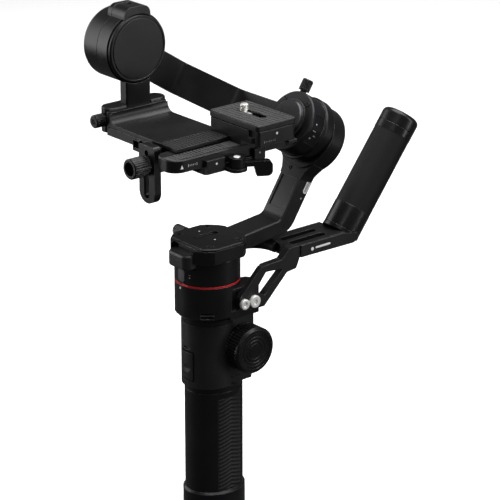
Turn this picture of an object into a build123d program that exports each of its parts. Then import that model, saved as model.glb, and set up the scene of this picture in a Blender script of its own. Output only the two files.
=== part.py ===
# Camera gimbal: a three-axis stabiliser with a main handle, a second slanted
# handle behind it, and a quick-release camera stage. Millimetres, +Z up.
# The lens looks along -Y and +X is the operator's left. The parts are laid out
# about the centre of the red ring, and saved with the tripod thread at the origin.
import os
from math import atan2, cos, degrees, hypot, radians, sin, tan

from build123d import *

os.makedirs("parts", exist_ok=True)

# ---------------------------------------------------------------- dimensions
RING_R = 25.5            # red ring and both pan motor housings
GAP = 0.4                # gap between a motor's fixed and turning halves
CLEAR = 0.3              # gap between sliding pieces
FIT = 0.05               # running fit of a shaft in its hole

GRIP_Y = 5.5             # centre of the oval grip
GRIP_HALF_X = 20.6
GRIP_HALF_Y = 24.2
GRIP_TOP = -91.0
GRIP_FOOT = -218.0

WHEEL_Y = 20.3           # focus wheel
WHEEL_Z = -56.6
WHEEL_R = 18.8

MOTOR_DEPTH = 13.0       # inside one motor
STATOR_R = 17.0
BELL_IN = 17.6
BELL_OUT = 20.5
BORE_R = 22.0
SHAFT_R = 4.0

ARM_RISE = 6.0           # slope of the pan arm's lower bar, degrees
ARM_HALF = 12.0          # half width of the pan arm
ARM_THICK = 12.0
ARM_MID_Y = 23.0         # a point on the middle of the lower bar
ARM_MID_Z = 24.2

ROLL_SLANT = 33.0        # roll axis below the horizontal, degrees
ROLL_Z = 163.0           # where the roll axis meets the pan axis
ROLL_GAP = 122.6         # parting plane of the roll motor, behind that point
ROLL_RING_R = 24.4
ROLL_FRONT = 97.9
ROLL_REAR = 139.5
ROLL_HOUSE_R = 27.0
ROLL_DROP = -3.0         # the housing's outside sits this far off the axis

BAR_FRONT = 99.5         # roll arm, where it passes through the roll ring
BAR_BACK = 106.5
BAR_LOW = -15.4
BAR_HIGH = 10.8

TILT_Y = -5.0            # tilt axis, along X
TILT_Z = 166.2
TILT_GAP = -92.3         # parting plane of the tilt motor
TILT_R = 28.0

PLATE_TOP = 113.0        # top of the camera stage
RAIL_TOP = 109.5
QR_TOP = 128.5           # top of the camera plate
SCREW_R = 3.175          # 1/4 inch thread

# Places where sloping parts are built: their own Z or Y is then square to them
SEAT = Pos(0, -GRIP_Y, -GRIP_FOOT)
ARM = Pos(0, ARM_MID_Y, ARM_MID_Z) * Rot(ARM_RISE, 0, 0)
ROLL = Pos(0, 0, ROLL_Z) * Rot(-ROLL_SLANT, 0, 0)
REAR_LEAN = 37.75
REAR_GRIP = Pos(15, 123.2, 12) * Rot(-REAR_LEAN, 0, 0)


# ------------------------------------------------------------------- helpers
def block(x0, x1, y0, y1, z0, z1):
    """Box between six faces."""
    middle = Pos((x0 + x1) / 2, (y0 + y1) / 2, (z0 + z1) / 2)
    return middle * Box(x1 - x0, y1 - y0, z1 - z0)


def rod_x(x0, x1, r, y=0, z=0):
    """Cylinder along X."""
    return Pos((x0 + x1) / 2, y, z) * Rot(0, 90, 0) * Cylinder(r, x1 - x0)


def rod_y(y0, y1, r, x=0, z=0):
    """Cylinder along Y."""
    return Pos(x, (y0 + y1) / 2, z) * Rot(90, 0, 0) * Cylinder(r, y1 - y0)


def rod_z(z0, z1, r, x=0, y=0):
    """Cylinder along Z."""
    return Pos(x, y, (z0 + z1) / 2) * Cylinder(r, z1 - z0)


def outline(points, rounds=None):
    """Closed flat outline; rounds gives a corner radius for a corner number."""
    face = make_face(Polyline(*points, close=True))
    for number, radius in (rounds or {}).items():
        px, py = points[number]
        corner = min(face.vertices(), key=lambda v: hypot(v.X - px, v.Y - py))
        face = fillet(corner, radius)
    return face


def slab_x(face, x0, x1):
    """Outline in Y and Z, thick along X."""
    return Pos(x0, 0, 0) * extrude(Plane.YZ * face, x1 - x0)


def slab_y(face, y0, y1):
    """Outline in X and Z, thick along Y."""
    return Pos(0, y1, 0) * extrude(Plane.XZ * face, y1 - y0)


def slab_z(face, z0, z1):
    """Outline in X and Y, thick along Z."""
    return Pos(0, 0, z0) * extrude(face, z1 - z0)


def oval(half_x, half_y, z0, z1):
    """Upright oval block about the grip's centre line."""
    return Pos(0, GRIP_Y, z0) * extrude(Ellipse(half_x, half_y), z1 - z0)


def rounded(x0, x1, y0, y1, z0, z1, r):
    """Upright block with rounded upright edges."""
    body = block(x0, x1, y0, y1, z0, z1)
    return fillet(body.edges().filter_by(Axis.Z), r)


def knurl(knob, radius, count, bite, low, high):
    """Grooves round a knob whose axis is Z."""
    for i in range(count):
        turn = radians(360 / count * i)
        knob -= rod_z(low, high, bite, radius * cos(turn), radius * sin(turn))
    return knob


def knob(radius, length, stem_r, stem, count, hollow=0):
    """Knurled clamp knob along +Z from z = 0, with its stem below."""
    body = rod_z(0, length, radius)
    body = chamfer(body.edges().group_by(Axis.Z)[-1], 0.8)
    body = knurl(body, radius + 0.25, count, 0.6, 1.6, length - 1.2)
    if hollow:
        body -= rod_z(length - 6, length + 1, hollow)
    return body + rod_z(-stem, 0.2, stem_r)


def stator():
    """Toothed motor core below its parting plane z = 0."""
    core = rod_z(-MOTOR_DEPTH, -3.2, 7.5)
    for i in range(12):
        tooth = block(6, STATOR_R - 1, -1.6, 1.6, -12, -5)
        shoe = block(STATOR_R - 2.5, STATOR_R, -3.4, 3.4, -12, -5)
        core += Rot(0, 0, 30 * i) * (tooth + shoe)
    core &= rod_z(-MOTOR_DEPTH, -3.2, STATOR_R)
    return core - rod_z(-MOTOR_DEPTH - 1, 0, SHAFT_R + FIT)


def rotor():
    """Motor bell and shaft; its disc bridges the parting plane z = 0."""
    bell = rod_z(-11.5, GAP, BELL_OUT) - rod_z(-12, -2.6, BELL_IN)
    return bell + rod_z(-12.8, -2, SHAFT_R)


def save(name, shape):
    """Write one node, moved so that the tripod thread is at the origin."""
    export_step(SEAT * shape, f"parts/{name}.step")


# ------------------------------------------------------- lower pan housing
low_gap = 0.75
house = rod_z(-29, -low_gap, RING_R)
house = chamfer(house.edges().group_by(Axis.Z)[0], 3.0)
house += rod_z(-34, -28, 20.5)
side = outline([(6, 2), (25.4, 2), (25.4, 32), (9, 32)], {2: 3, 3: 5})
house += slab_z(side, -29, -4.3)
house -= rod_z(low_gap - MOTOR_DEPTH, 1, BORE_R)
house -= rounded(24.2, 27, 3.2, 10, -22.5, -6, 0.8)
pin_turn = Rot(0, 0, -40)
house -= pin_turn * block(23.4, 27, -5, 5, -25.4, -20.6)
house += pin_turn * rod_y(-5.2, 5.2, 0.9, 24.5, -23)
for screw_y in (11.6, 21.6):
    house -= rod_x(13, 26, 2.4, screw_y, -16.5)
save("yaw_housing", house)

ring = rod_z(-low_gap, low_gap, RING_R) - rod_z(-1, 1, BORE_R + 0.2)
ring -= block(-2, 6, -27, -24.6, -0.2, 1)
save("accent_ring", ring)

save("yaw_stator", Pos(0, 0, low_gap) * stator())
save("yaw_rotor", Pos(0, 0, low_gap) * rotor())

# ----------------------------------------------------------- control section
REAR_Y = 34.5            # thumb side
body = rod_z(-86, -34, 20.8)
rear = outline([(-18, -4), (18, -4), (18, REAR_Y), (-18, REAR_Y)], {2: 6, 3: 6})
body += slab_z(rear, -86, -29) - rod_z(-34, -28.9, 20.5)
body -= slab_x(outline([(REAR_Y + 0.2, -70), (REAR_Y + 0.2, -87), (28.4, -87)]), -19, 19)
# front notch above the trigger, and the pocket the trigger sits in
body -= block(-4, 4, -22, -19.4, -54.5, -52.5)
body -= block(-6.9, 6.9, -22, -11.5, -81, -56)
body -= rod_x(-9, 9, 1.5 + FIT, -16, -59)
# groove round the foot below the wheel
body -= block(17.2, 19, 2, 26, -80.5, -78.5)
# inner room for the electronics
body -= block(-12, 12, -8, 20, -82, -40)
body -= rod_x(12, 19, 4 + FIT, WHEEL_Y, WHEEL_Z)
body -= rod_x(18.1, 22, WHEEL_R + 0.6, WHEEL_Y, WHEEL_Z)
# thumb side: joystick well, two button wells, and the display window
STICK_Z = -46.0
STICK_Y = REAR_Y - 5.1
body -= rod_y(24.9, 36, 9.5, 0, STICK_Z)
body -= rod_x(-10.8, 10.8, 1.0 + FIT, STICK_Y, STICK_Z)
BUTTONS = {"record_button": (-7.0, -64.0), "mode_button": (7.0, -64.0)}
for button_x, button_z in BUTTONS.values():
    body -= rod_y(26.9, 36, 3.8, button_x, button_z)
body -= block(-18.5, -17.4, 5, 27, -62, -44)
save("control_body", body)
save("display_window", block(-18.1, -17.4, 5.2, 26.8, -61.8, -44.2))

for name, (button_x, button_z) in BUTTONS.items():
    cap = rod_y(28.9, REAR_Y + 1.2, 3.5, button_x, button_z)
    cap = fillet(cap.edges().group_by(Axis.Y)[-1], 0.6)
    save(name, cap)

stick_ring = rod_y(STICK_Y - 1.5, STICK_Y + 1.5, 8.2, 0, STICK_Z)
stick_ring -= rod_y(STICK_Y - 2, STICK_Y + 2, 5.6, 0, STICK_Z)
stick_ring += rod_x(7, 10.5, 1.0, STICK_Y, STICK_Z)
stick_ring += rod_x(-10.5, -7, 1.0, STICK_Y, STICK_Z)
stick_ring -= rod_z(STICK_Z - 9, STICK_Z + 9, 0.8 + FIT, 0, STICK_Y)
save("joystick_ring", stick_ring)

stick = rod_y(STICK_Y - 2.2, REAR_Y + 2.4, 2.4, 0, STICK_Z)
stick += rod_z(STICK_Z - 7.6, STICK_Z + 7.6, 0.8, 0, STICK_Y)
top = rod_y(REAR_Y + 1.6, REAR_Y + 4.8, 6.4, 0, STICK_Z)
top = fillet(top.edges(), 1.2) - Pos(0, REAR_Y + 15.3, STICK_Z) * Sphere(11.5)
save("joystick_cap", stick + top)

# focus wheel on the left side, with its spun metal face
wheel = rod_x(18.5, 34, WHEEL_R, WHEEL_Y, WHEEL_Z)
wheel = chamfer(wheel.edges().group_by(Axis.X)[-1], 1.8)
wheel = chamfer(wheel.edges().group_by(Axis.X)[0], 1.0)
wheel -= rod_x(31.4, 35, 14.6, WHEEL_Y, WHEEL_Z)
for i in range(48):
    turn = radians(7.5 * i)
    groove_y = WHEEL_Y + (WHEEL_R + 0.35) * cos(turn)
    groove_z = WHEEL_Z + (WHEEL_R + 0.35) * sin(turn)
    wheel -= rod_x(20.4, 31.2, 0.75, groove_y, groove_z)
wheel += rod_x(12.6, 19, 4, WHEEL_Y, WHEEL_Z)
save("focus_wheel", wheel)

face = rod_x(31.4, 33.4, 14.4, WHEEL_Y, WHEEL_Z)
for groove_r in (12.4, 9.6, 6.8):
    cut = rod_x(32.9, 34, groove_r, WHEEL_Y, WHEEL_Z)
    face -= cut - rod_x(32.8, 34, groove_r - 0.9, WHEEL_Y, WHEEL_Z)
save("wheel_face", face)

finger = [(-22.6, -58), (-21.2, -57), (-14.6, -57), (-14.6, -79), (-17.3, -80), (-22.2, -79.5),
          (-21, -70)]
lever = slab_x(outline(finger, {0: 0.8, 5: 1.0, 6: 8}), -6.5, 6.5) & rod_z(-81, -56, 21.5)
lever += rod_x(-8.6, 8.6, 1.5, -16, -59)
save("trigger", lever)

# ------------------------------------------------------------------ main grip
core = oval(GRIP_HALF_X, GRIP_HALF_Y, -213, GRIP_TOP)
core += oval(GRIP_HALF_X - 0.7, GRIP_HALF_Y - 0.7, GRIP_TOP, -86)
core -= oval(GRIP_HALF_X - 3, GRIP_HALF_Y - 3, -214, -96)
PAD_LOW = -174.6
pad_zone = block(-22, 22, -5, 20, PAD_LOW, -95.6)
pad_shell = oval(GRIP_HALF_X, GRIP_HALF_Y, -213, GRIP_TOP)
pad_shell -= oval(GRIP_HALF_X - 1.4, GRIP_HALF_Y - 1.4, -214, GRIP_TOP + 1)
pads = pad_shell & pad_zone
save("grip_core", core - pads)
save("grip_pads", pads)

# the foot is wider than the grip and reaches up round it
foot = oval(GRIP_HALF_X + 1.7, GRIP_HALF_Y + 1.7, GRIP_FOOT, PAD_LOW - 0.6)
foot = chamfer(foot.edges().group_by(Axis.Z)[0], 1.2)
foot = chamfer(foot.edges().group_by(Axis.Z)[-1], 1.5)
foot -= oval(GRIP_HALF_X, GRIP_HALF_Y, -213, PAD_LOW)
foot += oval(GRIP_HALF_X - 3.1, GRIP_HALF_Y - 3.1, -213, -207)
foot -= rod_z(GRIP_FOOT - 1, -206, 6.0, 0, GRIP_Y)
save("base_cap", foot)
insert = rod_z(GRIP_FOOT, -207, 6.0, 0, GRIP_Y)
insert -= rod_z(GRIP_FOOT - 1, -208.5, SCREW_R, 0, GRIP_Y)
save("thread_insert", insert)
cells = rod_z(-190, -125, 9.2, 0, GRIP_Y - 9.4) + rod_z(-190, -125, 9.2, 0, GRIP_Y + 9.4)
save("battery_cells", cells)

# ------------------------------------------------------------- rear handle
plate = [(7.6, -11.5), (29, 9.4), (50, 10.5), (58, 18), (68, 18), (68, 8), (65.6, 2.4),
         (64.4, 0), (55, -1), (32.2, -23.3), (18.6, -22.8), (7.6, -21)]
plate = outline(plate, {0: 3, 1: 2, 3: 3, 6: 2, 8: 3, 9: 3, 10: 3, 11: 3})
strut = slab_x(plate, 25.4, 30)
# it is thicker behind the housing, with a long slanted opening through it
strut += slab_x(plate, 23.4, 26) & block(20, 27, 32.3, 61, -30, 20)
opening = outline([(23.4, -8.4), (33.6, 4.3), (49.8, 3.2), (50, 1.4), (32.2, -14.4), (26.5, -11)],
                  {0: 1.5, 1: 2, 2: 0.6, 4: 1})
strut -= slab_x(opening, 22, 31)
for screw_y in (11.6, 21.6):
    strut -= rod_x(25, 31, 2.6, screw_y, -16.5)
save("extension_arm", strut)

screws = None
for screw_y, head_r in ((11.6, 4.2), (21.6, 5.0)):
    head = rod_x(30, 32.4, head_r, screw_y, -16.5)
    head = fillet(head.edges().group_by(Axis.X)[-1], 0.7)
    socket = Pos(31, screw_y, -16.5) * (Plane.YZ * extrude(RegularPolygon(2.3, 6), 2))
    screw = head + rod_x(14, 30.2, 2.3, screw_y, -16.5) - socket
    screws = screw if screws is None else screws + screw
save("extension_screws", screws)

beam = [(61, 8), (61, 18), (115.4, 18), (125.3, 10.35), (122.4, 7.4)]
beam = slab_x(outline(beam), -1, 30) - block(25.4, 31, 60, 68.4, 4, 19)
for slot_x0, slot_x1 in ((7.4, 13.4), (18, 24.6)):
    beam -= rounded(slot_x0, slot_x1, 65, 101, 13, 19, 2.9)
save("extension_block", beam)
cheek = outline([(68.5, 8.2), (68.8, 17.8), (112, 17.8), (129.7, 14.7), (124.2, 7.5)], {3: 2, 4: 2})
cheek = slab_x(cheek, 30, 31.2) - REAR_GRIP * rod_z(-2, 30, 15.6)
save("extension_panel", cheek)

# curved brace round the far side of the motor housing
brace_path = Spline((10, 61, 12.5), (-8, 53.5, 12.8), (-17, 45, 10.6), (-27, 28, 1.5), (-28.5, 12, -13))
brace_start = Plane(origin=brace_path @ 0, z_dir=brace_path % 0)
brace = sweep(brace_start * Circle(4.4), path=brace_path)
brace += rounded(-32, -20, 4, 20, -24, -7, 3)
brace -= rod_z(-40, 10, RING_R)
save("extension_brace", brace - block(-40, 40, 61, 70, 0, 20))

rod = rod_z(0, 3, 15.35) + rod_z(3, 21.5, 15.25) + rod_z(21, 92, 8)
rod -= rod_z(12, 93, 6.5)
rod -= rod_z(2.9, 3.6, 16) - rod_z(2.8, 3.7, 14.7)
save("extension_rod", REAR_GRIP * rod)
sleeve = rod_z(21.5, 89, 15.1) - rod_z(21, 90, 8)
save("extension_sleeve", REAR_GRIP * sleeve)
end = rod_z(89, 107, 15.3)
end = fillet(end.edges().group_by(Axis.Z)[-1], 4)
end -= rod_z(95, 95.6, 16) - rod_z(94.9, 95.7, 14.8)
end -= rod_z(88.9, 92, 8)
save("extension_cap", REAR_GRIP * end)

# ------------------------------------------------------------- pan assembly
tunnel = ARM * Box(2 * ARM_HALF + 2 * CLEAR, 150, ARM_THICK + 2 * CLEAR)
tunnel -= block(-20, 20, -60, -21.3, 0, 14)
nose_room = block(-13.4, 13.4, -30, -20.7, 14, 40)
top_gap = low_gap + GAP
pan = rod_z(top_gap, 20, RING_R)
pan -= tunnel
pan -= nose_room
pan -= block(-4.3, 4.3, -27, -18.5, 2.9, 12.7)
save("pan_housing", pan)

square = outline([(-25.5, -25.5), (25.5, -25.5), (25.5, 27), (-25.5, 27)],
                 {0: 12, 1: 12, 2: 12, 3: 12})
PAN_KNOB_Y = 2.0
PAN_KNOB_Z = 27.3
head = slab_z(square, 20, 30.5) & rod_z(19, 31, 29, 0, 1)
head = head - tunnel - nose_room
head -= rod_x(-30, -13, 2.5 + FIT, PAN_KNOB_Y, PAN_KNOB_Z)
save("pan_head", head)

lid = slab_z(square, 30.5, 32.5) & rod_z(30, 33, 28.4, 0, 1)
lid = chamfer(lid.edges().group_by(Axis.Z)[-1], 0.6)
lid -= block(-30, 30, -30, -20.2, 30, 33) + tunnel
lid -= rounded(-7, -1, -9, 13.7, 31.2, 33, 2.9)
corners = [(x, y) for x in (-19, 19) for y in (-12.3, 15.7)]
for x, y in corners:
    lid -= rod_z(30, 33, 1.7, x, y)
    lid -= rod_z(31.3, 33, 3.1, x, y)
save("pan_top_plate", lid)
screws = None
for x, y in corners:
    screw = rod_z(31.3, 32.3, 2.9, x, y) + rod_z(30.5, 31.4, 1.6, x, y)
    screw -= Pos(x, y, 31.6) * extrude(RegularPolygon(1.4, 6), 1)
    screws = screw if screws is None else screws + screw
save("pan_plate_screws", screws)

button = block(-4, 4, -26, -20.5, 3.2, 12.4)
button = fillet(button.edges().filter_by(Axis.Y), 1.5) & rod_z(0, 15, RING_R + 0.45)
save("pan_lock_button", button)
save("pan_clamp_knob", Pos(-27, PAN_KNOB_Y, PAN_KNOB_Z) * Rot(0, -90, 0) * knob(4.6, 13.5, 2.5, 13, 20))

# -------------------------------------------------------------- pan arm
slope = radians(ARM_RISE)
slant = radians(ROLL_SLANT)


def bar_line(y, offset):
    """Height of the lower bar's surface at a given y."""
    return ARM_MID_Z + (y - ARM_MID_Y) * tan(slope) + offset / cos(slope)


def roll_point(s, w):
    """(Y, Z) of the point s behind and w above the roll axis origin."""
    return (s * cos(slant) + w * sin(slant), ROLL_Z - s * sin(slant) + w * cos(slant))


def bar_meets(s, offset):
    """(Y, Z) where a plane across the roll axis meets the lower bar's surface."""
    y0, z0 = roll_point(s, 0)
    rise = tan(slope) * sin(slant)
    w = (bar_line(y0, offset) - z0) / (cos(slant) - rise)
    return roll_point(s, w)


half = ARM_THICK / 2
ARM_OUT = 138.0          # outer and inner face of its upper part
ARM_IN = 124.0
shape = [(-21, 15.4), (-12.9, 15.4), (-12.9, bar_line(-12.9, -half)), bar_meets(ARM_OUT, -half),
         roll_point(ARM_OUT, -20), roll_point(ARM_IN, -20), bar_meets(ARM_IN, half),
         (-21, bar_line(-21, half))]
arm = slab_x(outline(shape, {3: 16, 6: 7}), -ARM_HALF, ARM_HALF)
arm = chamfer(arm.edges().filter_by(GeomType.LINE).filter_by(lambda e: e.length > 60), 0.8)
side = [(12, -37), (12.9, -32.5), (15, -28.3), (18.5, -22.8)]
flare = outline([(-x, w) for x, w in side] + [(x, w) for x, w in reversed(side)])
arm += ROLL * (Pos(0, ARM_OUT - 2, 0) * extrude(Plane.XZ * flare, ARM_OUT - 2 - ARM_IN))
arm -= ROLL * rod_y(118, 142, ROLL_HOUSE_R, 0, ROLL_DROP)
arm -= ROLL * block(-8.5, 8.5, ARM_IN - 0.5, ARM_IN + 0.8, -64, -38)
save("pan_arm", arm)

plan = outline([(-13, -31), (13, -31), (13, -21), (-13, -21)], {0: 7.5, 1: 6})
nose = slab_z(plan, 15, 27)
nose = fillet(nose.edges().group_by(Axis.Z)[-1].filter_by(lambda e: e.center().Y < -22), 2.4)
nose = fillet(nose.edges().group_by(Axis.Z)[0].filter_by(lambda e: e.center().Y < -22), 1.2)
save("pan_arm_nose", nose)

house = rod_y(ROLL_GAP, ROLL_REAR, ROLL_HOUSE_R, 0, ROLL_DROP)
house = fillet(house.edges().group_by(Axis.Y)[-1], 5)
house -= rod_y(ROLL_GAP - 1, ROLL_GAP + MOTOR_DEPTH, BORE_R)
save("roll_housing", ROLL * house)
roll_motor = ROLL * Pos(0, ROLL_GAP, 0) * Rot(90, 0, 0)
save("roll_stator", roll_motor * stator())
save("roll_rotor", roll_motor * rotor())

# --------------------------------------------------------------- roll body
RIM_S = 113.5            # the ring is wider behind this plane
ring = rod_y(ROLL_FRONT, RIM_S + 1, ROLL_RING_R)
ring = chamfer(ring.edges().group_by(Axis.Y)[0], 0.8)
rim = rod_y(RIM_S, ROLL_GAP - GAP, ROLL_RING_R + 1.4)
ring += fillet(rim.edges().group_by(Axis.Y)[0], 1.2)
ring -= block(-26, 16.3, BAR_FRONT - CLEAR, BAR_BACK + CLEAR, BAR_LOW - CLEAR, BAR_HIGH + CLEAR)
ring -= rod_z(BAR_HIGH, 26, 2.5 + FIT, -4, 103)
window = rod_y(100.5, 112, ROLL_RING_R + 1) - rod_y(100, 113, ROLL_RING_R - 1.4)
window &= slab_y(outline([(0, 0), (40, -22), (40, 22)]), 99, 114)
ring -= window
save("roll_ring", ROLL * ring)
panel = window & rod_y(99, 114, ROLL_RING_R - 0.3)
save("roll_side_panel", ROLL * panel)

hub = rod_y(95.6, ROLL_FRONT, 17.2) + rod_y(93, 96, 15.6)
hub = chamfer(hub.edges().group_by(Axis.Y)[0], 1.0)
hub -= block(-9, 9, 92, 94.2, -1.6, 1.6)
save("roll_hub", ROLL * hub)
save("roll_clamp_knob", ROLL * (Pos(-4, 103, 26) * knob(4.4, 9.4, 2.5, 14, 20)))

# ---------------------------------------------------------------- roll arm
BEND_X = -65.5           # where the arm turns off the straight bar
END_X = -95.0            # inner face of its end
END_S = 59.5
run = hypot(END_X - BEND_X, END_S - BAR_FRONT)
step_x = (BEND_X - END_X) / run
step_s = (BAR_FRONT - END_S) / run
thick = BAR_BACK - BAR_FRONT
out_x = BEND_X - thick * step_s
out_s = BAR_FRONT + thick * step_x
back_x = out_x + (BAR_BACK - out_s) * step_x / step_s
low_s = out_s - (out_x - END_X + thick) * step_s / step_x
shape = [(14, BAR_FRONT), (BEND_X, BAR_FRONT), (END_X, END_S), (END_X, 12), (END_X - thick, 12),
         (END_X - thick, low_s), (back_x, BAR_BACK), (14, BAR_BACK)]
arm = slab_z(outline(shape, {1: 9, 2: 9, 5: 15, 6: 15}), BAR_LOW, BAR_HIGH)
tilt_room = rod_x(-120, -60, TILT_R, TILT_Y, TILT_Z)
save("roll_arm", ROLL * arm - tilt_room)

TILT_BACK = -112.0
house = rod_x(TILT_BACK, TILT_GAP, TILT_R, TILT_Y, TILT_Z)
house = fillet(house.edges().group_by(Axis.X)[0], 5)
lug = outline([(-18, 180), (7, 180), (7, 199.5), (-18, 199.5)], {2: 7, 3: 7})
house += slab_x(lug, -97, TILT_GAP)
house -= rod_x(TILT_GAP - MOTOR_DEPTH, TILT_GAP + 1, BORE_R, TILT_Y, TILT_Z)
save("tilt_housing", house)
tilt_motor = Pos(TILT_GAP, TILT_Y, TILT_Z) * Rot(0, 90, 0)
save("tilt_stator", tilt_motor * stator())
save("tilt_rotor", tilt_motor * rotor())

# --------------------------------------------------------------- tilt body
front_gap = TILT_GAP + GAP
ring = rod_x(front_gap, -79.5, TILT_R, TILT_Y, TILT_Z)
ring += slab_x(lug, front_gap, -76)
neck = rounded(-85.2, -76.2, -17, 6.5, 99, 150, 1.5)
ring += neck - rod_x(-79.5, -70, 27.4, TILT_Y, TILT_Z)
ring -= rod_x(-79.5, -70, 27.3, TILT_Y, TILT_Z)
ring -= rod_z(198, 201, 2.2, -88, -4.3)
save("tilt_ring", ring)
cap = rod_x(-79.5, -76, 27, TILT_Y, TILT_Z)
cap = chamfer(cap.edges().group_by(Axis.X)[-1], 1.2)
groove = rod_x(-76.8, -75, 24.8, TILT_Y, TILT_Z) - rod_x(-77, -74, 23.6, TILT_Y, TILT_Z)
save("tilt_cap", cap - groove)

# ------------------------------------------------------------ camera stage
KNOB_X = -84.0
KNOB_Z = 113.2
cheek = rounded(-91.5, -76, -34, 24, 103.3, 123, 7.6)
cheek = chamfer(cheek.edges().group_by(Axis.Z)[-1], 0.8)
stage = cheek + rounded(-78, -72, -36.5, 19.5, 103.3, 121.5, 2.9)
fill = block(-72.5, -64.5, -36.5, 19.5, 112, 120.5) - rod_y(-40, 30, 7.5, -64.5, 120.5)
stage += fill + block(-76, 10, -36.5, 19.5, 110.3, PLATE_TOP)
stage += block(-76, -8, -35.9, 18.9, 109.5, 111)
stage += block(-76, -8, -36.5, 19.5, 103.3, 109.8)
stage -= block(-10, 8, -34, 17, PLATE_TOP - 1.2, PLATE_TOP + 1)
stage -= block(-85.5, -75.9, -17.3, 6.8, 100, 130)
stage -= rod_y(-35, -18, 2.5 + FIT, KNOB_X, KNOB_Z)
stage += block(-42, -33.4, -38, -30, 100, 109)
stage -= block(-41.2, -34.2, -39, -34, 102.4, 108.2)
save("stage_bracket", stage)

pad = block(-10, 8, -34, 17, PLATE_TOP - 1.2, PLATE_TOP)
for i in range(16):
    rib_y = -32.5 + 3.2 * i
    pad -= block(-11, 9, rib_y, rib_y + 1.1, PLATE_TOP - 0.5, PLATE_TOP + 1)
save("stage_pad", pad)

turned = Rot(90, 0, 0)
save("stage_knob", Pos(KNOB_X, -34.4, KNOB_Z) * turned * knob(5.25, 9.1, 2.5, 16, 24))

LEVER_X = 31.0           # cam lever's pivot, beside the rail
LEVER_Y = 4.0
RAIL_LOW = 99.7
LENS_KNOB_X = -15.0
LENS_KNOB_Z = 96.4
base = block(-12, -1, -22, 36, 93.5, 103.3) + block(-8, -1, -22, 19.5, 103, 110.3)
base += rounded(-12, 26, -22, 36, 93.5, RAIL_LOW - 0.5, 3)
base += block(24.8, 28, -22, -5, 95, 105) + block(24.8, 28, 24, 34.5, 96, 105)
base += rod_z(89.5, 94, 8, 7, 27)
base += block(-22, -6, -39.5, -20, 91.5, 103.3)
base += rounded(20, 38, -3.5, 11.5, 93.5, 96, 6)
base -= rod_z(96, 106, 6.4, LEVER_X, LEVER_Y)
base -= rod_z(93, 97, 3 + FIT, LEVER_X, LEVER_Y)
base -= rod_y(-41, -28, 2.7 + FIT, LENS_KNOB_X, LENS_KNOB_Z)
save("rail_clamp_base", base)

blade = slab_y(outline([(0, 96.6), (13, 96.6), (15, 88.5), (27, 88.5), (27, 100.5), (0, 100.5)],
                       {3: 4, 4: 4}), -3, 3)
lever = rod_z(96.3, 104, 5.9) + rod_z(92.5, 97, 3) + blade
lever = lever - (rod_z(103, 105, 2.6) - rod_z(102, 106, 1.9))
save("cam_lever", Pos(LEVER_X, LEVER_Y, 0) * Rot(0, 0, 61.6) * lever)

# lens support: slotted upright held by a knob on the front of the stage
side = outline([(-24, 66.4), (-5, 66.4), (-5, 112), (-24, 112)], {0: 9.2, 1: 9.2, 2: 3, 3: 3})
support = slab_y(side, -46, -39.8)
slot_face = Pos(LENS_KNOB_X, 84.8, 0) * Rot(0, 0, 90) * SlotOverall(29.6, 6)
support -= slab_y(slot_face, -47, -39)
support -= slab_y(Pos(-14.5, 106, 0) * Circle(2.2), -47, -44)
save("lens_support", support)
save("lens_knob", Pos(LENS_KNOB_X, -46.3, LENS_KNOB_Z) * turned * knob(8, 15.7, 2.7, 17, 28, 5.5))

# ------------------------------------------------------------- sliding rail
plan = outline([(0, -51), (24.5, -51), (24.5, 60), (0, 60)], {0: 10, 1: 10, 2: 3, 3: 3})
rail = slab_z(plan, RAIL_LOW, RAIL_TOP)
rail = chamfer(rail.edges().group_by(Axis.Z)[-1], 0.7)
for i in range(16):
    rib_y = -46 + 3.2 * i
    rail -= block(11, 22, rib_y, rib_y + 1.1, RAIL_TOP - 0.5, RAIL_TOP + 1)
save("rail", rail)

clamp = block(-13, 38, 13.5, 52, 113.5, 123.3)
clamp = chamfer(clamp.edges().filter_by(Axis.Z), 1.5)
clamp += block(11, 24.5, 13.5, 52, RAIL_TOP, 114)
clamp += block(34, 38, 44, 51, 109.6, 114) + block(36, 44, 44, 52, 109.6, 111.7)
clamp -= block(-14, 39, 23.9, 42.1, 118.5, 124)
clamp -= block(33, 39, 12, 15.5, 118, 124)
clamp -= rod_z(108, 113, 2 + FIT, 41.3, 48)
save("qr_clamp_body", clamp)

jaw_face = outline([(38.6, 14.5), (44, 14.5), (44, 48), (38.6, 48)], {0: 1.2, 1: 2})
jaw = slab_z(jaw_face, 112, 123.6) + rod_z(112, 123.6, 2.7, 41.3, 48)
jaw += rod_z(109.8, 113, 2, 41.3, 48)
save("qr_lever", jaw)

SCREW_X = 4.2
SCREW_Y = 33.5
plate = rounded(-14, 43.5, 13.5, 52, 124, QR_TOP, 2.5)
plate = chamfer(plate.edges().group_by(Axis.Z)[-1], 0.6)
plate += block(-12.5, 37.5, 24.3, 41.7, 119, 124.5)
for i in range(16):
    rib_x = -12.4 + 3.5 * i
    plate -= block(rib_x, rib_x + 1.4, 14.6, 51, QR_TOP - 0.5, QR_TOP + 1)
# the screw stands at one end of its slot, with its head in a channel below
plate -= rounded(0.8, 29, 30.2, 36.8, 118, 130, 3.25)
plate -= rounded(-2.8, 33, 26.5, 40.5, 118, 126.6, 6.9)
save("qr_plate", plate)
screw = rod_z(124, 126.5, 6.5, SCREW_X, SCREW_Y) + rod_z(126, 128.8, 2.5, SCREW_X, SCREW_Y)
screw += rod_z(128.7, 133.5, SCREW_R, SCREW_X, SCREW_Y)
screw = chamfer(screw.edges().group_by(Axis.Z)[-1], 0.6)
screw -= block(SCREW_X - 5, SCREW_X + 5, SCREW_Y - 0.7, SCREW_Y + 0.7, 123, 125.2)
save("camera_screw", screw)
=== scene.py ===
# Looks of the camera gimbal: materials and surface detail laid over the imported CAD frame.
# Metres, +Z up, the lens looks along -Y. CAD dimensions are in millimetres about the red ring;
# at() turns them into the row frame.
import math

import bmesh
import bpy
from mathutils import Matrix, Vector


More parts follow.
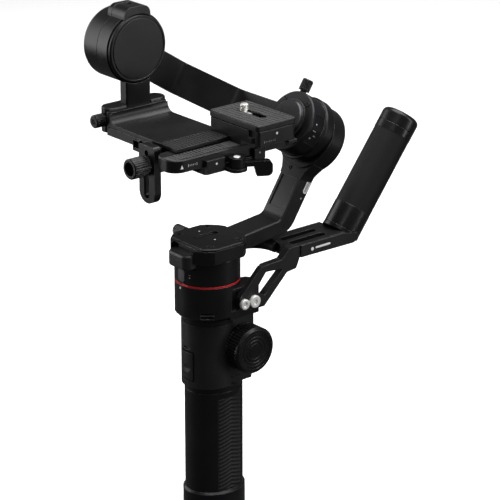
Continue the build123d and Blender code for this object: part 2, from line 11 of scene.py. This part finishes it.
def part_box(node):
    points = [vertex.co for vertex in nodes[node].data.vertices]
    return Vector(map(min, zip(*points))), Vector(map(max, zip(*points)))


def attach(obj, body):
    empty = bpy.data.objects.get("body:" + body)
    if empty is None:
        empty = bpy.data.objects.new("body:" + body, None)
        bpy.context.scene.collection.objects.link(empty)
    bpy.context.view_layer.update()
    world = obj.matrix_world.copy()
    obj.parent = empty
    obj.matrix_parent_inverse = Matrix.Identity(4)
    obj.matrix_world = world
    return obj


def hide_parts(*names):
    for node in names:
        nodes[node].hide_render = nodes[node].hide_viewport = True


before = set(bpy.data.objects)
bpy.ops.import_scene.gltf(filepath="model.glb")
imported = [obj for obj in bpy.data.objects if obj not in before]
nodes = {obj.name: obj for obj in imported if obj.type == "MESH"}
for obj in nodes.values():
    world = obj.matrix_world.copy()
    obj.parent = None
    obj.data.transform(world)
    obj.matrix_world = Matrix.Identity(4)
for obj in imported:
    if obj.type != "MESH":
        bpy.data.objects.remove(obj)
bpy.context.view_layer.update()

GRIP_Y = 5.5            # middle of the main grip, behind the red ring
GRIP_FOOT = 218.0       # drop from the red ring to the foot of the grip
GRIP_HALF_X = 20.6
GRIP_HALF_Y = 24.2
ROLL_Z = 163.0          # height of the roll axis above the red ring
ROLL_SLANT = math.radians(33)
REAR_LEAN = math.radians(37.75)


def at(x, y, z):
    """Millimetres about the red ring to metres in the row frame."""
    return Vector((x, y - GRIP_Y, z + GRIP_FOOT)) / 1000


def roll_at(x, s, w):
    """A point given sideways, behind and above the roll axis origin."""
    y = s * math.cos(ROLL_SLANT) + w * math.sin(ROLL_SLANT)
    z = ROLL_Z - s * math.sin(ROLL_SLANT) + w * math.cos(ROLL_SLANT)
    return at(x, y, z)


# ------------------------------------------------------------------ materials
class Shader:
    """A small helper that adds and links shader nodes."""

    def __init__(self, name):
        self.material = bpy.data.materials.new(name)
        self.material.use_nodes = True
        self.nodes = self.material.node_tree.nodes
        self.links = self.material.node_tree.links
        self.nodes.clear()
        self.out = self.nodes.new("ShaderNodeOutputMaterial")

    def add(self, kind, settings=None, **inputs):
        node = self.nodes.new(kind)
        for key, value in (settings or {}).items():
            setattr(node, key, value)
        for key, value in inputs.items():
            socket = node.inputs[int(key[1:])] if key[0] == "i" and key[1:].isdigit() else node.inputs[key]
            if isinstance(value, bpy.types.NodeSocket):
                self.links.new(value, socket)
            else:
                socket.default_value = value
        return node

    def noise(self, where, scale, detail=3.0, rough=0.55):
        node = self.add("ShaderNodeTexNoise", None, Vector=where, Scale=scale, Detail=detail,
                        Roughness=rough)
        return node.outputs["Fac"]

    def scaled(self, value, low, high, from_low=0.3, from_high=0.7):
        node = self.add("ShaderNodeMapRange", None, i0=value, i1=from_low, i2=from_high, i3=low, i4=high)
        return node.outputs[0]

    def math(self, operation, a, b=0.0):
        node = self.add("ShaderNodeMath", {"operation": operation}, i0=a, i1=b)
        return node.outputs[0]

    def blend(self, share, first, second):
        node = self.add("ShaderNodeMix", {"data_type": "RGBA"}, i0=share, i6=first, i7=second)
        return node.outputs[2]


def surface(name, color, rough, metallic=0.0, grain=1500.0, depth=0.012, blotch=0.12, edge_highlight=0.0,
            highlight_color=(0.3, 0.3, 0.31), edge=0.45, pattern=None, spread=0.06, coat=0.0, specular=0.5):
    """A finished surface: tone and roughness vary, fine grain stands in relief, edges are eased and can carry
    a painted highlight in a lighter colour.
    """
    s = Shader(name)
    where = s.add("ShaderNodeTexCoord").outputs["Object"]
    fine = s.noise(where, grain, 4.0)
    broad = s.noise(where, 38.0, 3.0)
    dark = [c * (1 - blotch) for c in color] + [1.0]
    light = [min(1.0, c * (1 + blotch)) for c in color] + [1.0]
    tone = s.blend(s.scaled(broad, 0.0, 1.0), dark, light)
    eased = s.add("ShaderNodeBevel", {"samples": 4}, Radius=edge / 1000).outputs[0]
    flat = s.add("ShaderNodeNewGeometry").outputs["Normal"]
    facing = s.add("ShaderNodeVectorMath", {"operation": "DOT_PRODUCT"}, i0=eased, i1=flat).outputs[1]
    corner = s.scaled(facing, 1.0, 0.0, 0.80, 0.985)
    # Painted highlight: a lighter colour laid in patches along the eased edges, standing in for light caught
    # on the chamfers.
    if edge_highlight:
        patchy = s.scaled(s.noise(where, 190.0, 4.0), 0.25, 1.0, 0.35, 0.6)
        highlight_share = s.math("MULTIPLY", s.math("MULTIPLY", corner, patchy), edge_highlight)
        tone = s.blend(highlight_share, tone, list(highlight_color) + [1.0])
    speck = s.scaled(s.noise(where, 420.0, 2.0), -0.02, 0.02)
    shine = s.math("ADD", s.scaled(broad, rough - spread, rough + spread), speck)
    height = fine
    if pattern:
        height = pattern(s, where, fine)
    relief = s.add("ShaderNodeBump", None, Strength=1.0, Distance=depth / 1000, Height=height,
                   Normal=eased).outputs[0]
    body = s.add("ShaderNodeBsdfPrincipled")
    s.links.new(tone, body.inputs["Base Color"])
    s.links.new(shine, body.inputs["Roughness"])
    s.links.new(relief, body.inputs["Normal"])
    body.inputs["Metallic"].default_value = metallic
    body.inputs["Specular IOR Level"].default_value = specular
    body.inputs["Coat Weight"].default_value = coat
    body.inputs["Coat Roughness"].default_value = 0.12
    s.links.new(body.outputs[0], s.out.inputs[0])
    return s.material


def spun(centre, axes):
    """Fine turned rings round an axis through centre; axes are the two directions across it."""
    def rings(s, where, fine):
        parts = s.add("ShaderNodeSeparateXYZ", None, Vector=where).outputs
        first = s.math("SUBTRACT", parts[axes[0]], centre[axes[0]])
        second = s.math("SUBTRACT", parts[axes[1]], centre[axes[1]])
        radius = s.math("SQRT", s.math("ADD", s.math("MULTIPLY", first, first),
                                       s.math("MULTIPLY", second, second)))
        wave = s.math("SINE", s.math("MULTIPLY", radius, 2 * math.pi / 0.0011))
        return s.math("ADD", s.math("MULTIPLY", wave, 0.7), s.math("MULTIPLY", fine, 0.3))
    return rings


def centre_of(node):
    low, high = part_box(node)
    return (low + high) / 2


def coil(centre, pitch):
    """A screw thread round an upright axis."""
    def thread(s, where, fine):
        parts = s.add("ShaderNodeSeparateXYZ", None, Vector=where).outputs
        angle = s.math("ARCTAN2", s.math("SUBTRACT", parts[1], centre[1]),
                       s.math("SUBTRACT", parts[0], centre[0]))
        turns = s.math("ADD", s.math("DIVIDE", parts[2], pitch), s.math("DIVIDE", angle, 2 * math.pi))
        return s.math("PINGPONG", turns, 0.5)
    return thread


def bands(axis, pitch, share):
    """Ridges across a slanting axis, mixed with the fine grain."""
    def ridges(s, where, fine):
        along = s.add("ShaderNodeVectorMath", {"operation": "DOT_PRODUCT"}, i0=where, i1=axis).outputs[1]
        wave = s.math("SINE", s.math("MULTIPLY", along, 2 * math.pi / pitch))
        return s.math("ADD", s.math("MULTIPLY", wave, share), s.math("MULTIPLY", fine, 1 - share))
    return ridges


def weave(pitch):
    """A small diamond pattern pressed into rubber."""
    def diamonds(s, where, fine):
        parts = s.add("ShaderNodeSeparateXYZ", None, Vector=where).outputs
        turn = 2 * math.pi / pitch
        first = s.math("SINE", s.math("MULTIPLY", s.math("ADD", parts[0], parts[1]), turn))
        second = s.math("SINE", s.math("MULTIPLY", s.math("SUBTRACT", parts[0], parts[1]), turn))
        cross = s.math("MULTIPLY", first, second)
        return s.math("ADD", s.math("MULTIPLY", cross, 0.8), s.math("MULTIPLY", fine, 0.2))
    return diamonds


rear_axis = (0.0, math.sin(REAR_LEAN), math.cos(REAR_LEAN))
screw_low, screw_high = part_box("camera_screw")
screw_centre = (screw_low + screw_high) / 2

BLACK = (0.008, 0.008, 0.009)
# Each finish's arguments give the strength and colour of its painted edge highlight.
looks = {
    "anodised": surface("anodised_black", BLACK, 0.34, 0.35, edge_highlight=0.5, blotch=0.2, specular=0.32),
    "anodised_soft": surface("anodised_soft_black", (0.006, 0.006, 0.007), 0.38, 0.2, edge_highlight=0.2, grain=1100,
                             depth=0.02, specular=0.28),
    "anodised_side": surface("anodised_dark_grey", (0.012, 0.012, 0.013), 0.40, 0.4, grain=900, depth=0.03,
                             edge_highlight=0.55, specular=0.4),
    "turned_black": surface("turned_black", (0.012, 0.012, 0.013), 0.28, 0.6, edge_highlight=0.4, blotch=0.2,
                            highlight_color=(0.3, 0.3, 0.31), specular=0.4),
    "collar": surface("turned_collar", (0.012, 0.012, 0.013), 0.32, 0.5, edge_highlight=0.3, blotch=0.12, depth=0.004,
                      highlight_color=(0.3, 0.3, 0.31), pattern=bands(rear_axis, 0.0006, 0.6), specular=0.4),
    "plastic": surface("moulded_plastic", (0.008, 0.008, 0.009), 0.42, 0.0, grain=2200, depth=0.03,
                       specular=0.35),
    "rubber": surface("grip_rubber", (0.012, 0.012, 0.013), 0.6, 0.0, grain=2600, depth=0.05, blotch=0.2,
                      specular=0.25),
    "inlay": surface("rubber_inlay", (0.034, 0.033, 0.034), 0.46, 0.0, depth=0.22, blotch=0.25,
                     pattern=weave(0.0018), specular=0.42),
    "foam": surface("foam_sleeve", (0.007, 0.007, 0.007), 0.62, 0.0, depth=0.10, blotch=0.15,
                    pattern=bands(rear_axis, 0.0013, 0.5), specular=0.16),
    "steel": surface("screw_steel", (0.82, 0.81, 0.79), 0.38, 0.55, grain=1600, depth=0.01, blotch=0.1,
                     edge_highlight=0.3, highlight_color=(0.9, 0.9, 0.9)),
    "threaded": surface("threaded_steel", (0.72, 0.71, 0.68), 0.34, 0.7, depth=0.45, blotch=0.1,
                        pattern=coil(screw_centre, 0.00127), edge=0.2),
    "dull_steel": surface("core_steel", (0.35, 0.34, 0.33), 0.45, 1.0, grain=700, depth=0.05),
    "brass": surface("insert_brass", (0.62, 0.43, 0.18), 0.32, 1.0, edge_highlight=0.3, highlight_color=(0.8, 0.62, 0.32)),
    "red": surface("red_anodised", (0.50, 0.008, 0.010), 0.36, 0.25, blotch=0.12, edge_highlight=0.2,
                   highlight_color=(0.7, 0.08, 0.07)),
    "red_button": surface("red_button", (0.45, 0.015, 0.015), 0.35, 0.0, blotch=0.1),
    "light": surface("satin_grey_button", (0.10, 0.10, 0.105), 0.36, 0.6, blotch=0.25),
    "gloss": surface("gloss_black", (0.004, 0.004, 0.005), 0.16, 0.0, depth=0.003, coat=0.3, specular=0.35),
    "cells": surface("cell_wrap", (0.05, 0.2, 0.16), 0.4, 0.0, blotch=0.1),
    "paint": surface("white_print", (0.80, 0.80, 0.79), 0.5, 0.0, blotch=0.06, grain=2600),
    "silver_print": surface("silver_print", (0.34, 0.34, 0.35), 0.45, 0.3, blotch=0.08, grain=2600),
}
looks["spun_face"] = surface("spun_face", (0.012, 0.012, 0.013), 0.3, 0.6, edge_highlight=0.3, depth=0.018,
                             pattern=spun(centre_of("wheel_face"), (1, 2)), specular=0.4)
looks["spun_hub"] = surface("spun_hub", (0.03, 0.03, 0.032), 0.3, 0.7, edge_highlight=0.4, depth=0.02,
                            highlight_color=(0.3, 0.3, 0.31))

finish = {
    "yaw_housing": "anodised", "accent_ring": "red", "yaw_stator": "dull_steel",
    "control_body": "plastic", "display_window": "gloss", "grip_core": "anodised_soft",
    "grip_pads": "rubber", "base_cap": "anodised", "thread_insert": "brass", "battery_cells": "cells",
    "extension_arm": "anodised_side", "extension_screws": "steel", "extension_block": "anodised",
    "extension_panel": "anodised_side", "extension_brace": "plastic", "extension_rod": "collar",
    "extension_sleeve": "foam", "extension_cap": "collar", "record_button": "red_button",
    "mode_button": "light", "joystick_ring": "dull_steel", "joystick_cap": "rubber",
    "focus_wheel": "turned_black", "wheel_face": "spun_face", "trigger": "plastic",
    "pan_housing": "anodised", "pan_head": "anodised", "pan_top_plate": "anodised",
    "pan_plate_screws": "turned_black", "yaw_rotor": "dull_steel", "pan_lock_button": "light",
    "pan_clamp_knob": "turned_black", "pan_arm": "anodised", "pan_arm_nose": "plastic",
    "roll_housing": "anodised", "roll_stator": "dull_steel", "roll_ring": "anodised",
    "roll_side_panel": "gloss", "roll_hub": "spun_hub", "roll_rotor": "dull_steel",
    "roll_clamp_knob": "turned_black", "roll_arm": "anodised", "tilt_housing": "anodised",
    "tilt_stator": "dull_steel", "tilt_ring": "anodised", "tilt_cap": "anodised",
    "tilt_rotor": "dull_steel", "stage_bracket": "anodised", "stage_pad": "rubber",
    "rail_clamp_base": "anodised", "stage_knob": "turned_black", "cam_lever": "turned_black",
    "lens_support": "anodised", "lens_knob": "turned_black", "rail": "anodised",
    "qr_clamp_body": "anodised", "qr_lever": "anodised", "qr_plate": "anodised",
    "camera_screw": "threaded",
}
for name, look in finish.items():
    mesh = nodes[name].data
    mesh.materials.clear()
    mesh.materials.append(looks[look])


def second_look(node, look, region):
    """Faces of a CAD node whose centre lies in region take a second material."""
    mesh = nodes[node].data
    mesh.materials.append(looks[look])
    for face in mesh.polygons:
        if region(face.center, face.normal):
            face.material_index = 1


plate_top = at(0, 0, 128.5).z
rail_top = at(0, 0, 109.5).z
second_look("qr_plate", "inlay", lambda c, n: n.z > 0.8 and c.z > plate_top - 0.0007)
second_look("rail", "inlay",
            lambda c, n: n.z > 0.8 and c.z > rail_top - 0.0007 and 0.011 <= c.x <= 0.022)


# -------------------------------------------------------------- added pieces
def make(name, points, faces, look, body, smooth=False):
    """A mesh piece that rides on a body; points are in metres in the row frame."""
    mesh = bpy.data.meshes.new(name)
    mesh.from_pydata([tuple(p) for p in points], [], faces)
    mesh.validate()
    mesh.materials.append(looks[look])
    for face in mesh.polygons:
        face.use_smooth = smooth
    piece = bpy.data.objects.new(name, mesh)
    bpy.context.scene.collection.objects.link(piece)
    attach(piece, body)
    return piece


def print_flat(name, place, across, up, shape, look, body, lift=0.06):
    """A thin printed mark: shape is an outline in millimetres across and up from place."""
    across = Vector(across).normalized()
    up = Vector(up).normalized()
    out = across.cross(up)
    low = [place + (across * u + up * v - out * 0.05) / 1000 for u, v in shape]
    high = [place + (across * u + up * v + out * lift) / 1000 for u, v in shape]
    count = len(shape)
    faces = [list(reversed(range(count))), list(range(count, 2 * count))]
    faces += [(i, (i + 1) % count, count + (i + 1) % count, count + i) for i in range(count)]
    return make(name, low + high, faces, look, body)


def disc(radius, centre_u=0.0, centre_v=0.0, count=24):
    turns = [2 * math.pi * i / count for i in range(count)]
    return [(centre_u + radius * math.cos(t), centre_v + radius * math.sin(t)) for t in turns]


def bar(length, width, centre_u=0.0, centre_v=0.0, count=8):
    """A rounded bar along the across direction."""
    reach = length / 2 - width / 2
    shape = []
    for i in range(count + 1):
        t = -math.pi / 2 + math.pi * i / count
        shape.append((centre_u + reach + width / 2 * math.cos(t), centre_v + width / 2 * math.sin(t)))
    for i in range(count + 1):
        t = math.pi / 2 + math.pi * i / count
        shape.append((centre_u - reach + width / 2 * math.cos(t), centre_v + width / 2 * math.sin(t)))
    return shape


def turned(name, place, out, profile, look, body, count=32):
    """A round piece turned about the direction out; profile is (radius, height) in millimetres."""
    out = Vector(out).normalized()
    side = out.orthogonal().normalized()
    other = out.cross(side)
    points = []
    for radius, height in profile:
        for i in range(count):
            t = 2 * math.pi * i / count
            points.append(place + (side * math.cos(t) * radius + other * math.sin(t) * radius
                                   + out * height) / 1000)
    faces = [list(reversed(range(count)))]
    for ring in range(len(profile) - 1):
        for i in range(count):
            j = (i + 1) % count
            faces.append((ring * count + i, ring * count + j, (ring + 1) * count + j,
                          (ring + 1) * count + i))
    last = (len(profile) - 1) * count
    faces.append([last + i for i in range(count)])
    return make(name, points, faces, look, body)


def cap_screw(name, place, out, radius, body):
    """The head of a small socket screw, standing a little proud."""
    profile = [(radius, -0.3), (radius, 0.35), (radius - 0.25, 0.55), (radius * 0.55, 0.55),
               (radius * 0.5, -0.1)]
    turned(name, place, out, profile, "turned_black", body)


def herringbone(name, side):
    """A rubber grip pad: ribs that climb to a ridge line in the middle, standing on a thin base."""
    low_y, high_y, low_z, high_z = -4.9, 19.9, -174.5, -95.7
    columns, rows = 66, 300
    points = []
    for layer in (0, 1):
        for row in range(rows + 1):
            z = low_z + (high_z - low_z) * row / rows
            for column in range(columns + 1):
                y = low_y + (high_y - low_y) * column / columns
                phase = ((z + 0.33 * abs(y - 6.5)) / 3.3) % 1.0
                rib = min(1.0, max(0.0, 4.2 * min(phase, 1 - phase) - 0.5))
                edge = min(y - low_y, high_y - y, z - low_z, high_z - z) / 0.8
                rise = min(1.0, max(0.0, edge))
                depth = 1.3 if layer else 0.55 - 0.55 * rib * rise
                spread = math.sqrt(1 - ((y - GRIP_Y) / GRIP_HALF_Y) ** 2)
                points.append(at(side * (GRIP_HALF_X * spread - depth), y, z))
    width = columns + 1
    size = width * (rows + 1)
    faces = []
    for row in range(rows):
        for column in range(columns):
            a = row * width + column
            quad = (a, a + 1, a + 1 + width, a + width)
            faces.append(quad if side > 0 else quad[::-1])
            under = tuple(i + size for i in reversed(quad))
            faces.append(under if side > 0 else under[::-1])
    rim = list(range(width))
    rim += [r * width + columns for r in range(1, rows + 1)]
    rim += [rows * width + c for c in range(columns - 1, -1, -1)]
    rim += [r * width for r in range(rows - 1, 0, -1)]
    for i, first in enumerate(rim):
        second = rim[(i + 1) % len(rim)]
        quad = (second, first, first + size, second + size)
        faces.append(quad if side > 0 else quad[::-1])
    pad = make(name, points, faces, "rubber", "handle", smooth=True)
    return pad


left_pad = herringbone("grip_pad_left", 1)
right_pad = herringbone("grip_pad_right", -1)
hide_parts("grip_pads")
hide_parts("grip_pads")

X_OUT = (0, 1, 0), (0, 0, 1)
roll_back = (roll_at(0, 1, 0) - roll_at(0, 0, 0)).normalized()
roll_up = (roll_at(0, 0, 1) - roll_at(0, 0, 0)).normalized()

# printed marks on the rail, the clamp and the quick-release lever
print_flat("rail_arrow", at(24.5, -43.1, 104), *X_OUT, [(-1.5, -1.3), (1.5, -1.3), (0, 1.6)], "paint", "rail")
for number in range(6):
    tall = 1.1 if number % 5 else 2.2
    mark = [(-0.18, -tall / 2), (0.18, -tall / 2), (0.18, tall / 2), (-0.18, tall / 2)]
    print_flat(f"rail_tick_{number}", at(24.5, -37 + 1.6 * number, 104.2), *X_OUT, mark, "paint", "rail")
print_flat("clamp_dot", at(28.0, -13.0, 101.5), *X_OUT, disc(0.9), "paint", "stage")
print_flat("clamp_dot_rear", at(28.0, 29.0, 101.5), *X_OUT, disc(0.8), "silver_print", "stage")
print_flat("lever_dot", at(44.0, 32.2, 120.0), *X_OUT, disc(1.0), "paint", "qr_lever")
for number in range(7):
    tall = 1.0 if number % 3 else 2.0
    mark = [(-0.16, -tall / 2), (0.16, -tall / 2), (0.16, tall / 2), (-0.16, tall / 2)]
    print_flat(f"lever_tick_{number}", at(44.0, 20 + 1.7 * number, 115.2), *X_OUT, mark, "silver_print",
               "qr_lever")

# two dots on the pan top plate and the white dot at the ring's notch
Z_OUT = (1, 0, 0), (0, 1, 0)
print_flat("pan_dot_a", at(-14, 3.6, 32.5), *Z_OUT, disc(0.7), "paint", "pan")
print_flat("pan_dot_b", at(8, 1.2, 32.5), *Z_OUT, disc(0.8), "paint", "pan")
print_flat("ring_dot", at(-1.6, -25.42, -3.2), (1, 0, 0), (0, 0, 1), disc(0.95), "paint", "handle")

# label, dots and socket screw on the pan arm's upper part
arm_side = (roll_back, roll_up)
print_flat("arm_label", roll_at(12, 134.4, -39.8), -roll_up, roll_back, bar(12.5, 4.4), "paint",
           "pan_arm", 0.1)
print_flat("arm_label_seam", roll_at(12.1, 134.4, -39.8), -roll_up, roll_back, bar(10.4, 2.6),
           "silver_print", "pan_arm", 0.05)
print_flat("arm_mark_top", roll_at(12, 131.4, -30.6), *arm_side, bar(2.6, 0.7), "silver_print", "pan_arm")
print_flat("arm_mark_low", roll_at(12, 133.6, -50.5), *arm_side, disc(0.8), "silver_print", "pan_arm")
cap_screw("arm_screw", roll_at(-3.8, 124.0, -31.5), -roll_back, 1.7, "pan_arm")
for number, (x, w) in enumerate(((11.8, 16.0), (-14.0, 15.5), (15.5, -14.0))):
    cap_screw(f"ring_screw_{number}", roll_at(x, 97.9, w), -roll_back, 1.9, "roll")

# small icons on the roll motor's side panel
for number, (s, w, shape) in enumerate(((104.2, 4.4, disc(0.7)), (104.6, -1.0, bar(3.4, 0.6)),
                                        (106.6, -4.6, bar(2.6, 0.6)), (104.0, -7.4, disc(0.8)))):
    across = roll_back
    sideways = math.sqrt(24.1 ** 2 - w ** 2)
    tangent = (roll_up * sideways - Vector((w, 0, 0))).normalized()
    print_flat(f"panel_icon_{number}", roll_at(sideways, s, w), across, tangent, shape, "silver_print",
               "roll")

# a plain generic mark on the rear handle's side panel
print_flat("panel_dot", at(31.2, 80.0, 12.6), *X_OUT, disc(1.5), "paint", "handle")
print_flat("panel_bar", at(31.2, 91.0, 13.0), *X_OUT, bar(15.5, 1.7), "paint", "handle")

# icons beside the pan lock, and bright screws on the cam lever and the stage knob
print_flat("lock_icon_a", at(8.3, -24.15, 9.5), (1, 0.34, 0), (0, 0, 1), bar(1.7, 0.5), "silver_print", "pan")
print_flat("lock_icon_b", at(8.3, -24.15, 7.3), (1, 0.34, 0), (0, 0, 1), disc(0.6), "silver_print", "pan")
stage_knob_low, stage_knob_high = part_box("stage_knob")
knob_face = Vector(((stage_knob_low.x + stage_knob_high.x) / 2, stage_knob_low.y,
                    (stage_knob_low.z + stage_knob_high.z) / 2))
screw_shape = [(2.6, -0.3), (2.6, 0.25), (2.3, 0.45), (0.9, 0.45), (0.8, 0.0)]
turned("cam_lever_screw", at(31, 4, 104), (0, 0, 1), screw_shape, "steel", "cam_lever")
centre_shape = [(2.3, -0.4), (2.3, -0.05), (2.0, 0.0), (0.9, 0.0), (0.8, -0.3)]
turned("stage_knob_centre", knob_face, (0, -1, 0), centre_shape, "steel", "stage_knob")

# ------------------------------------------------------------ floor and light
floor_mesh = bpy.data.meshes.new("floor")
build = bmesh.new()
for x, y in ((-12, -12), (12, -12), (12, 12), (-12, 12)):
    build.verts.new((x, y, -0.0005))
build.faces.new(build.verts)
build.to_mesh(floor_mesh)
build.free()
floor = bpy.data.objects.new("floor", floor_mesh)
bpy.context.scene.collection.objects.link(floor)
floor_look = Shader("pale_floor")
where = floor_look.add("ShaderNodeTexCoord").outputs["Object"]
pale = floor_look.blend(floor_look.noise(where, 2.0), (0.93, 0.93, 0.93, 1), (0.96, 0.96, 0.96, 1))
matt = floor_look.add("ShaderNodeBsdfPrincipled")
floor_look.links.new(pale, matt.inputs["Base Color"])
matt.inputs["Roughness"].default_value = 0.9
floor_look.links.new(matt.outputs[0], floor_look.out.inputs[0])
floor_mesh.materials.append(floor_look.material)
floor.visible_glossy = False
floor.visible_diffuse = False


def softbox(name, place, aim, width, height, power):
    """A large soft area light."""
    lamp = bpy.data.lights.new(name, "AREA")
    lamp.shape = "RECTANGLE"
    lamp.size = width
    lamp.size_y = height
    lamp.energy = power
    holder = bpy.data.objects.new(name, lamp)
    holder.location = place
    holder.rotation_euler = (Vector(aim) - Vector(place)).to_track_quat("-Z", "Y").to_euler()
    bpy.context.scene.collection.objects.link(holder)
    holder.visible_camera = False
    return holder


middle = (0.0, 0.03, 0.28)
softbox("overhead", (0.1, 0.35, 2.1), middle, 2.2, 2.2, 95)
softbox("left_wide", (-1.30, -0.55, 0.60), middle, 1.0, 1.1, 9)
softbox("left_strip", (-1.05, -1.05, 0.45), middle, 0.22, 1.2, 7)
softbox("right_strip", (1.35, 0.95, 0.6), middle, 0.30, 1.3, 11)
softbox("front_fill", (1.5, -1.7, 1.7), middle, 0.5, 0.5, 4)
world = bpy.data.worlds.new("studio")
world.use_nodes = True
world.node_tree.nodes["Background"].inputs[0].default_value = (1, 1, 1, 1)
world.node_tree.nodes["Background"].inputs[1].default_value = 0.10
bpy.context.scene.world = world
bpy.context.scene.view_settings.view_transform = "Standard"

# --------------------------------------------------------------------- camera
AZIMUTH, ELEVATION = 50.0, 20.5
camera_data = bpy.data.cameras.new("camera")
camera_data.sensor_width = 36.0
camera_data.lens = 172.8
camera_data.clip_end = 60
camera = bpy.data.objects.new("camera", camera_data)
camera.location = at(1340.2, -1081.8, 665.8)
turn = Matrix.Rotation(math.radians(AZIMUTH), 4, "Z")
lift = Matrix.Rotation(math.radians(90 - ELEVATION), 4, "X")
camera.rotation_euler = (turn @ lift).to_euler()
bpy.context.scene.collection.objects.link(camera)
bpy.context.scene.camera = camera
